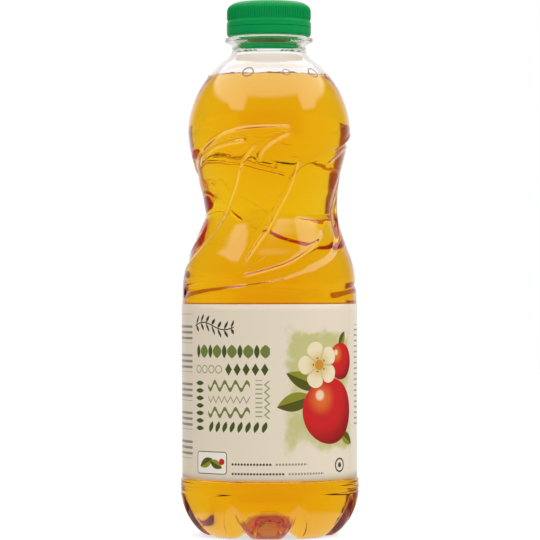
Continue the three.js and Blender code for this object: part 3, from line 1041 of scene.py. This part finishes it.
def print_ornament(film):
    """A block of folk ornament in greens."""
    dark, green, pale = shade(74, 92, 24), shade(118, 132, 56), shade(160, 164, 122)
    film.fill(leaf_motif, dark, 4.05, -40.3, 0.2, 56.6, 63)
    film.fill(leaf_motif, green, 8.1, -38.3, 0.2, 56.6, 63)
    film.fill(diamond_motif, dark, 4.4, -22, 0, 48.6, 54.4)
    film.fill(ring_motif, pale, 4.3, -40.3, -23.1, 48.6, 54.4)
    film.fill(leaf_motif, dark, 3.5, -40.3, -34.5, 22.2, 46.7, upwards=True)
    film.fill(wave_motif, green, 5.6, -31.6, -9.2, 41, 46.7)
    film.fill(zigzag_motif, pale, 3.2, -31.6, -9.2, 35.6, 39.4)
    film.fill(wave_motif, green, 5.6, -31.6, -9.2, 28.8, 34.2)
    film.fill(bar_motif, pale, 2.1, -6.6, -3.4, 28.8, 46.7, upwards=True)
    film.fill(zigzag_motif, pale, 3.5, -2.6, 0.2, 28.8, 46.3, upwards=True)
    film.fill(slanted_motif, dark, 3.9, -31.6, 0.2, 22.2, 27.4)


def print_wash(film):
    """A pale green wash behind the fruit, blotched like water colour and cut straight on its right."""
    blot = film.nodes.noise(film.object_place, 70.0, 3.0, 0.6)
    across, up = abs(film.along - 28), abs(film.up - 41)
    inside = (20 - across).least(28 - up) + (blot - 0.5) * 26
    film.lay(inside.ramp(-1, 5) * blot.ramp(0.3, 0.6, 0.45, 0.95) * (film.along < 48.4), shade(202, 198, 128))


def print_leaf(film, along, up, degrees, length, width):
    """An olive leaf, darker on one side of its midrib."""
    p, q = film.line(along, up, degrees), film.line(along, up, degrees + 90)
    inside = (1.0 - p * p * (4 / length**2)) * (width / 2) - abs(q)
    film.lay(inside > 0.0, film.nodes.mix(q.ramp(-0.3, 0.3), shade(148, 146, 30), shade(92, 92, 8)))
    film.lay(q.near(0.0, 0.16) * (inside > 0.5), shade(66, 70, 4))


def print_fruit(film, along, up, radius):
    """A round red fruit, lit from the upper left."""
    reach = film.reach(along, up)
    lit = film.reach(along - 0.34 * radius, up + 0.38 * radius)
    red = film.nodes.mix(lit.ramp(0.8 * radius, 1.5 * radius), shade(214, 6, 8), shade(150, 2, 2))
    red = film.nodes.mix(lit.ramp(0.6 * radius, 0.1 * radius), red, shade(232, 110, 30))
    film.lay(reach < radius, red)
    glint = film.reach(along - 0.4 * radius, up + 0.48 * radius)
    film.lay(glint.ramp(0.2 * radius, 0.1 * radius, 0, 0.85), shade(250, 226, 190))


def print_blossom(film, along, up, radius):
    """Five cream petals round a yellow heart."""
    right, above = film.line(along, up), film.line(along, up, 90)
    reach = film.reach(along, up)
    petal = abs((above.maths("ARCTAN2", above, right) * 2.5).sine())
    tip = petal.root() * (0.42 * radius) + 0.58 * radius
    pale = reach.ramp(0.15 * radius, 0.75 * radius)
    cream = film.nodes.mix(pale, shade(226, 196, 120), shade(246, 230, 190))
    cream = film.nodes.mix(petal.ramp(0.35, 0.1, 0, 0.5), cream, shade(206, 170, 110))
    film.lay(reach < tip, cream)
    film.lay(reach.ramp(0.24 * radius, 0.2 * radius), shade(214, 150, 30))
    film.lay(reach.near(0.3 * radius, 0.3) * (petal > 0.9), shade(150, 84, 20))


def print_sprig(film):
    """A fine dark sprig above the ornament."""
    ink = shade(62, 58, 52)
    q = film.up - 71.6 - ((film.along + 41) * 0.25).sine() * 1.7
    p = (film.along + 41).wrapped(3.6) - 1.8
    out = abs(q)
    inside = film.box(-41, -17, 64, 79)
    film.lay(q.near(0.0, 0.28) * inside, ink)
    blade = abs(p - out * 0.5 + 0.9) < (1.0 - (out - 2.0) * (out - 2.0) * 0.28) * 0.72
    film.lay(blade * inside, ink)


def print_foot(film):
    """Along the label's foot: a framed leaf, two dotted rules and a ring."""
    ink, faint = shade(76, 72, 66), shade(160, 152, 140)
    across, up = (abs(film.along + 30) - 7.6).most(0.0), (abs(film.up - 8) - 3.6).most(0.0)
    frame_reach = (across * across + up * up).root()
    film.lay(frame_reach < 1.5, shade(248, 240, 226))
    film.lay(frame_reach.near(1.5, 0.2), ink)
    print_leaf(film, -33, 8, 25, 9, 4.4)
    print_leaf(film, -27, 7.4, 155, 8, 4)
    film.lay(film.reach(-23.6, 8.6) < 1.5, shade(206, 24, 20))
    for up, break_at, end in [(7.6, 1, 18), (3.2, 7, 27)]:
        film.fill(dot_motif, ink, 1.5, -18.5, break_at, up - 1, up + 1)
        film.fill(dot_motif, faint, 1.5, break_at + 1.5, end, up - 0.8, up + 0.8)
    film.lay(film.reach(37.5, 6.6).near(3.0, 0.4), ink)
    film.lay(film.reach(37.5, 6.6) < 1.2, ink)


def print_sides(film):
    """Grey rules at both sides and at the back, where a pack carries its small print, and a green band."""
    ink = shade(150, 142, 130)
    gaps = (film.up - 5).wrapped(13.5) > 4.4
    rule = bar_motif((film.up - 5).wrapped(2.7) - 1.35, film.up, 1.9, 1)
    film.lay(rule * gaps * film.box(-66, -43.8, 6, 78), ink)
    film.lay((film.along > 48.4) * (film.along < 71.5), shade(240, 230, 208))
    film.fill(bar_motif, ink, 2.6, 53, 59.5, 24, 72, upwards=True)
    film.fill(bar_motif, ink, 3.1, 76, 106, 14, 72, upwards=True)
    film.fill(bar_motif, ink, 4.2, -122, -76, 30, 72, upwards=True)
    film.lay(film.box(-122, -76, 10, 22), shade(118, 132, 56))


def label_material(looks):
    """Cream film with a printed fruit design."""
    material, nodes = new_material("printed_cream_film", (0.9, 0.83, 0.7, 1.0))
    film = Film(nodes, (*looks.cream, 1.0))
    print_wash(film)
    for leaf in LEAVES:
        print_leaf(film, *leaf)
    for fruit in FRUIT:
        print_fruit(film, *fruit)
    print_blossom(film, *BLOSSOM)
    print_ornament(film)
    print_sprig(film)
    print_foot(film)
    print_sides(film)
    ripple = nodes.noise(film.object_place, 45.0, 2.0)
    finish_surface(
        nodes, Base_Color=film.colour, Roughness=0.35, IOR=1.5, Normal=nodes.bump(ripple, 0.0004, 0.5),
    )
    return material


def film_back_material():
    """The film's unprinted inner side, with a painted glow, an orange emission, standing in for the daylight
    that comes through it.
    """
    material, nodes = new_material("film_back", (0.9, 0.88, 0.84, 1.0))
    # Painted glow: orange emission in place of the light that shines through the film from outside.
    finish_surface(
        nodes, Base_Color=grey(0.8), Roughness=0.6, Emission_Color=(1.0, 0.5, 0.22, 1.0),
        Emission_Strength=0.42,
    )
    return material


def make_label(shape):
    """The wrap label: a thin closed sleeve whose end laps over its start at the back."""
    degrees = np.arange(LABEL_COLUMNS) * 360 / LABEL_COLUMNS
    lap = shape.label_lap / MM
    flap = lap * (np.abs(degrees - LAP_MIDDLE) < LAP_HALF_ANGLE)
    outer_r, inner_r = LABEL_R - lap + flap, LABEL_R - 0.2 - lap
    height = np.linspace(LABEL_BOTTOM, LABEL_TOP, LABEL_ROWS)
    inside = lathe(np.full((2, 1), inner_r), np.array([[LABEL_TOP], [LABEL_BOTTOM]]), degrees[None, :])
    outside = lathe(outer_r[None, :], height[:, None], degrees[None, :])
    rings = np.concatenate([inside, outside])
    faces = ring_quads(len(rings), LABEL_COLUMNS, closed=True).tolist()
    material = label_material(bpy.context.scene.bottle_looks)
    piece = make_piece("wrap_label", rings.reshape(-1, 3), faces, material, "label_film", "label")
    piece.data.materials.append(film_back_material())
    for polygon in piece.data.polygons[:LABEL_COLUMNS]:
        polygon.material_index = 1
    return piece


# Studio

def degrees_from_back(x, y):
    """The side that a place or a direction lies on, in degrees from straight behind the bottle."""
    return x.maths("ARCTAN2", x, y) * (180 / math.pi)


def room_brightness(nodes, aside, light):
    """What a glossy surface mirrors level with it: the bright backdrop, or the dark room at the front."""
    return aside.ramp(20, 50, light.back, light.front)


def floor_material(light):
    """White paper, lit a little from within so that it stays white. Mirrored, it shows painted brightness as
    the room, with a painted pool of light round the bottle; seen through the bottle, a painted reddish shadow
    lies under it.
    """
    material, nodes = new_material("white_paper", WHITE)
    paper = nodes.add("ShaderNodeBsdfPrincipled", None, {
        "Base Color": grey(0.85), "Roughness": 0.9, "Emission Color": grey(1.0), "Emission Strength": 0.6,
    })
    x, y, _ = nodes.split(nodes.add("ShaderNodeTexCoord", None, None, "Object"))
    aside = abs(degrees_from_back(x, y))
    path = nodes.add("ShaderNodeLightPath")
    # Painted reflection: mirrored, the floor is dark on the camera's side and bright behind, as the room.
    mirrored = room_brightness(nodes, aside, light)
    out = (x * x + y * y).root() / MM
    # Painted pool of light: mirrored, the floor is bright within 50 to 58 mm of the bottle's axis.
    mirrored = mirrored.most(out.ramp(58, 50, 0.0, 0.85))
    # Painted shadow: seen through the bottle, the floor under it is reddish brown, fading to grey from 34 to
    # 44 mm out.
    shaded = nodes.mix(out.ramp(34, 44), (0.74, 0.3, 0.1, 1.0), grey(0.92))
    seen = nodes.mix(nodes.other(path, "Is Glossy Ray"), grey(0.8), nodes.join(mirrored, mirrored, mirrored))
    seen = nodes.mix(nodes.other(path, "Is Transmission Ray"), seen, shaded)
    glow = nodes.add("ShaderNodeEmission", None, {"Color": seen, "Strength": 1.0})
    both = nodes.add("ShaderNodeMixShader", None, {0: path, 1: glow, 2: paper})
    nodes.add("ShaderNodeOutputMaterial", None, {"Surface": both})
    return material


def make_floor(light):
    mesh = bpy.data.meshes.new("studio_floor")
    half, depth = 2.5, -0.00005
    corners = [(-half, -half, depth), (half, -half, depth), (half, half, depth), (-half, half, depth)]
    mesh.from_pydata(corners, [], [(0, 1, 2, 3)])
    mesh.materials.append(floor_material(light))
    floor = bpy.data.objects.new("studio_floor", mesh)
    bpy.context.scene.collection.objects.link(floor)


def make_studio(light):
    """White surroundings with large soft lights above, to the left and to the right."""
    world = bpy.data.worlds.new("white_studio")
    world.use_nodes = True
    bpy.context.scene.world = world
    nodes = Nodes(world.node_tree)
    direction = nodes.add("ShaderNodeTexCoord", None, None, "Generated")
    x, y, z = nodes.split(direction)
    azimuth = degrees_from_back(x, y)
    elevation = z.maths("ARCSINE", z) * (180 / math.pi)
    aside = abs(azimuth)

    centre = aside.ramp(8, 14).most(elevation.ramp(3.4, 4.2))
    through = nodes.mix(centre, (0.92, 0.86, 0.76, 1.0), grey(0.96))
    left_flag = azimuth.ramp(-37, -42) * azimuth.ramp(-98, -84)
    flags = left_flag + azimuth.ramp(50, 54) * azimuth.ramp(98, 84)
    through = nodes.mix(flags, through, (0.34, 0.1, 0.03, 1.0))
    through = nodes.mix(aside.ramp(120, 150), through, grey(0.7))

    low = room_brightness(nodes, aside, light)
    over = elevation.ramp(41, 50) * light.softbox
    swung = aside + azimuth.ramp(-1, 1, 0, 14)
    rising = (elevation - swung.ramp(122, 106, 26, 32)).ramp(-2, 4)
    wings = rising * swung.ramp(145, 136) * light.softbox
    mirrored = low.most(over).most(wings)

    around = x.ramp(-1, 1, 0.6, 1.08) + elevation.ramp(10, 70) * 0.3

    path = nodes.add("ShaderNodeLightPath")
    glossy = nodes.other(path, "Is Glossy Ray")
    passed = nodes.other(path, "Is Transmission Ray")
    colour = nodes.mix(glossy, nodes.join(around, around, around), nodes.join(mirrored, mirrored, mirrored))
    colour = nodes.mix(passed, colour, through)
    colour = nodes.mix(path, colour, grey(1.0))
    background = nodes.add("ShaderNodeBackground", None, {"Color": colour, "Strength": 1.0})
    nodes.add("ShaderNodeOutputWorld", None, {"Surface": background})


def make_camera():
    """The camera of the photograph: level with the grip's foot, 1.38 m in front of the axis."""
    camera_data = bpy.data.cameras.new("photo_camera")
    camera_data.sensor_width = 36
    camera_data.lens = CAMERA_LENS
    camera = bpy.data.objects.new("photo_camera", camera_data)
    bpy.context.scene.collection.objects.link(camera)
    camera.location = CAMERA_PLACE
    pitch, yaw, roll = np.radians(CAMERA_TILT).tolist()
    turned = Euler((math.radians(90) + pitch, 0.0, yaw)).to_matrix() @ Matrix.Rotation(roll, 3, "Z")
    camera.rotation_euler = turned.to_euler()
    bpy.context.scene.camera = camera


# Settings that a user would change

class BottleShape(bpy.types.PropertyGroup):
    """Sizes of the bottle's finer parts."""

    wall: bpy.props.FloatProperty(
        name="Wall", description="Thickness of the blown wall", default=0.00045, min=0.0002, unit="LENGTH",
        precision=5)
    overlap: bpy.props.FloatProperty(
        name="Overlap", description="How far the drink reaches into the wall", default=0.00015, unit="LENGTH",
        precision=5)
    meniscus: bpy.props.FloatProperty(
        name="Meniscus", description="How far the drink climbs the wall at its edge", default=0.0007,
        unit="LENGTH", precision=5)
    bubbles: bpy.props.IntProperty(
        name="Bubbles", description="Number of bubbles round the drink's edge", default=24, min=0)
    smallest_bubble: bpy.props.FloatProperty(
        name="Smallest bubble", description="Radius of the smallest bubble", default=0.0005, unit="LENGTH",
        precision=5)
    largest_bubble: bpy.props.FloatProperty(
        name="Largest bubble", description="Radius of the largest bubble", default=0.0026, unit="LENGTH",
        precision=5)
    ribs: bpy.props.IntProperty(name="Ribs", description="Number of ribs round the cap", default=110, min=3)
    rib_radius: bpy.props.FloatProperty(
        name="Rib radius", description="Radius of each rib of the cap", default=0.00044, unit="LENGTH",
        precision=5)
    label_lap: bpy.props.FloatProperty(
        name="Label lap", description="How far the label's end stands over its start", default=0.0001,
        unit="LENGTH", precision=5)


class JuiceLooks(bpy.types.PropertyGroup):
    """What the drink takes out of the light, for each metre of its way."""

    red_taken: bpy.props.FloatProperty(
        name="Red taken", description="Share of red taken up, per metre", default=1.8, min=0)
    green_taken: bpy.props.FloatProperty(
        name="Green taken", description="Share of green taken up, per metre", default=11.8, min=0)
    blue_taken: bpy.props.FloatProperty(
        name="Blue taken", description="Share of blue taken up, per metre", default=101.0, min=0)


class BottleLooks(bpy.types.PropertyGroup):
    """Colours of the cap and the label."""

    cap: bpy.props.FloatVectorProperty(
        name="Cap", description="Colour of the cap", subtype="COLOR", default=shade(0, 157, 79)[:3])
    cream: bpy.props.FloatVectorProperty(
        name="Cream", description="Ground colour of the label", subtype="COLOR",
        default=shade(240, 225, 201)[:3])


class StudioLight(bpy.types.PropertyGroup):
    """Brightness of what the bottle mirrors."""

    front: bpy.props.FloatProperty(
        name="Front", description="Brightness of the room at the camera's side", default=0.08, min=0)
    back: bpy.props.FloatProperty(
        name="Back", description="Brightness of the backdrop", default=0.9, min=0)
    softbox: bpy.props.FloatProperty(
        name="Soft lights", description="Brightness of the lights above", default=2.6, min=0)


class BOTTLE_OT_shell(bpy.types.Operator):
    """Build the clear blown body"""

    bl_idname = "bottle.shell"
    bl_label = "Shell"

    def execute(self, context):
        make_shell(context.scene.bottle_shape)
        return {"FINISHED"}


class BOTTLE_OT_juice(bpy.types.Operator):
    """Fill the bottle with juice"""

    bl_idname = "bottle.juice"
    bl_label = "Juice"

    def execute(self, context):
        make_juice(context.scene.bottle_shape)
        return {"FINISHED"}


class BOTTLE_OT_bubbles(bpy.types.Operator):
    """Add the bubbles where the drink meets the wall"""

    bl_idname = "bottle.bubbles"
    bl_label = "Bubbles"

    def execute(self, context):
        make_bubbles(context.scene.bottle_shape)
        return {"FINISHED"}


class BOTTLE_OT_cap(bpy.types.Operator):
    """Build the ribbed screw cap"""

    bl_idname = "bottle.cap"
    bl_label = "Cap"

    def execute(self, context):
        _, material = make_cap()
        make_ribs(context.scene.bottle_shape, material)
        return {"FINISHED"}


class BOTTLE_OT_label(bpy.types.Operator):
    """Wrap the printed label round the bottle"""

    bl_idname = "bottle.label"
    bl_label = "Label"

    def execute(self, context):
        make_label(context.scene.bottle_shape)
        return {"FINISHED"}


class BOTTLE_OT_stage(bpy.types.Operator):
    """Set up the floor, the surroundings and the camera"""

    bl_idname = "bottle.stage"
    bl_label = "Stage"

    def execute(self, context):
        make_floor(context.scene.studio_light)
        make_studio(context.scene.studio_light)
        make_camera()
        context.scene.view_settings.view_transform = "Standard"
        context.scene.cycles.max_bounces = 96
        context.scene.cycles.transmission_bounces = 96
        context.scene.cycles.glossy_bounces = 64
        return {"FINISHED"}


OPERATORS = [
    BOTTLE_OT_stage, BOTTLE_OT_shell, BOTTLE_OT_juice, BOTTLE_OT_bubbles, BOTTLE_OT_cap, BOTTLE_OT_label,
]
SETTINGS = {
    "bottle_shape": BottleShape, "juice_looks": JuiceLooks, "bottle_looks": BottleLooks,
    "studio_light": StudioLight,
}


class BOTTLE_PT_panel(bpy.types.Panel):
    """Lists the steps that build the bottle, and their settings"""

    bl_label = "Juice Bottle"
    bl_space_type = "VIEW_3D"
    bl_region_type = "UI"
    bl_category = "Bottle"

    def draw(self, context):
        for operator in OPERATORS:
            self.layout.operator(operator.bl_idname)
        for name, group in SETTINGS.items():
            box = self.layout.box()
            for setting in group.__annotations__:
                box.prop(getattr(context.scene, name), setting)


def register():
    for group in [*SETTINGS.values(), *OPERATORS, BOTTLE_PT_panel]:
        bpy.utils.register_class(group)
    for name, group in SETTINGS.items():
        setattr(bpy.types.Scene, name, bpy.props.PointerProperty(type=group))


def unregister():
    for name in SETTINGS:
        delattr(bpy.types.Scene, name)
    for group in reversed([*SETTINGS.values(), *OPERATORS, BOTTLE_PT_panel]):
        bpy.utils.unregister_class(group)


def main():
    register()
    bpy.ops.bottle.stage()
    bpy.ops.bottle.shell()
    bpy.ops.bottle.juice()
    bpy.ops.bottle.bubbles()
    bpy.ops.bottle.cap()
    bpy.ops.bottle.label()


if __name__ == "__main__":
    main()
